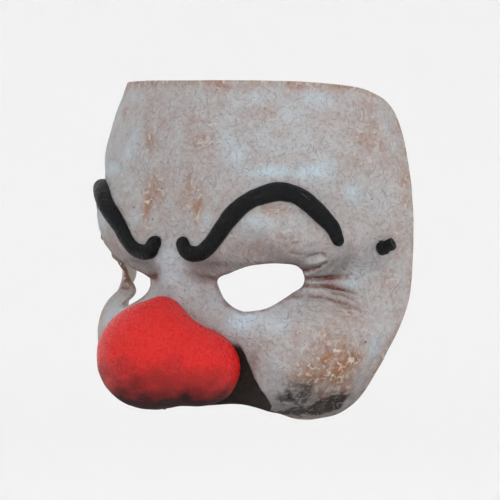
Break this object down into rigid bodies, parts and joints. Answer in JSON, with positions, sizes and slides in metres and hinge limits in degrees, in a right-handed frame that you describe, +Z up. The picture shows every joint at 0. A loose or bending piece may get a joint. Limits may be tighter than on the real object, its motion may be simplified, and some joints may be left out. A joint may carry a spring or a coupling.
{
  "type": "latex half mask",
  "caption": "Latex clown half mask: moulded skin over forehead, eyes and cheeks, red bulb nose and raised black brows.",
  "frame": {"origin": "on the midline just behind the skin over the bridge of the nose, where the mask seats on the face of whoever wears it", "axes": "+X along the width, towards the right of someone looking at its front; +Y back out of the hollow, towards the wearer's head; +Z up"},
  "size_m": [0.1796, 0.1156, 0.1625],
  "materials": {
    "flesh_latex": "matte",
    "red_latex": "gloss",
    "black_latex": "satin"
  },
  "bodies": {
    "root": {"face_shell": "flesh_latex", "nose": "red_latex", "brow_left": "black_latex", "brow_right": "black_latex", "strap_knot_left": "black_latex", "strap_knot_right": "black_latex"}
  },
  "joints": []
}
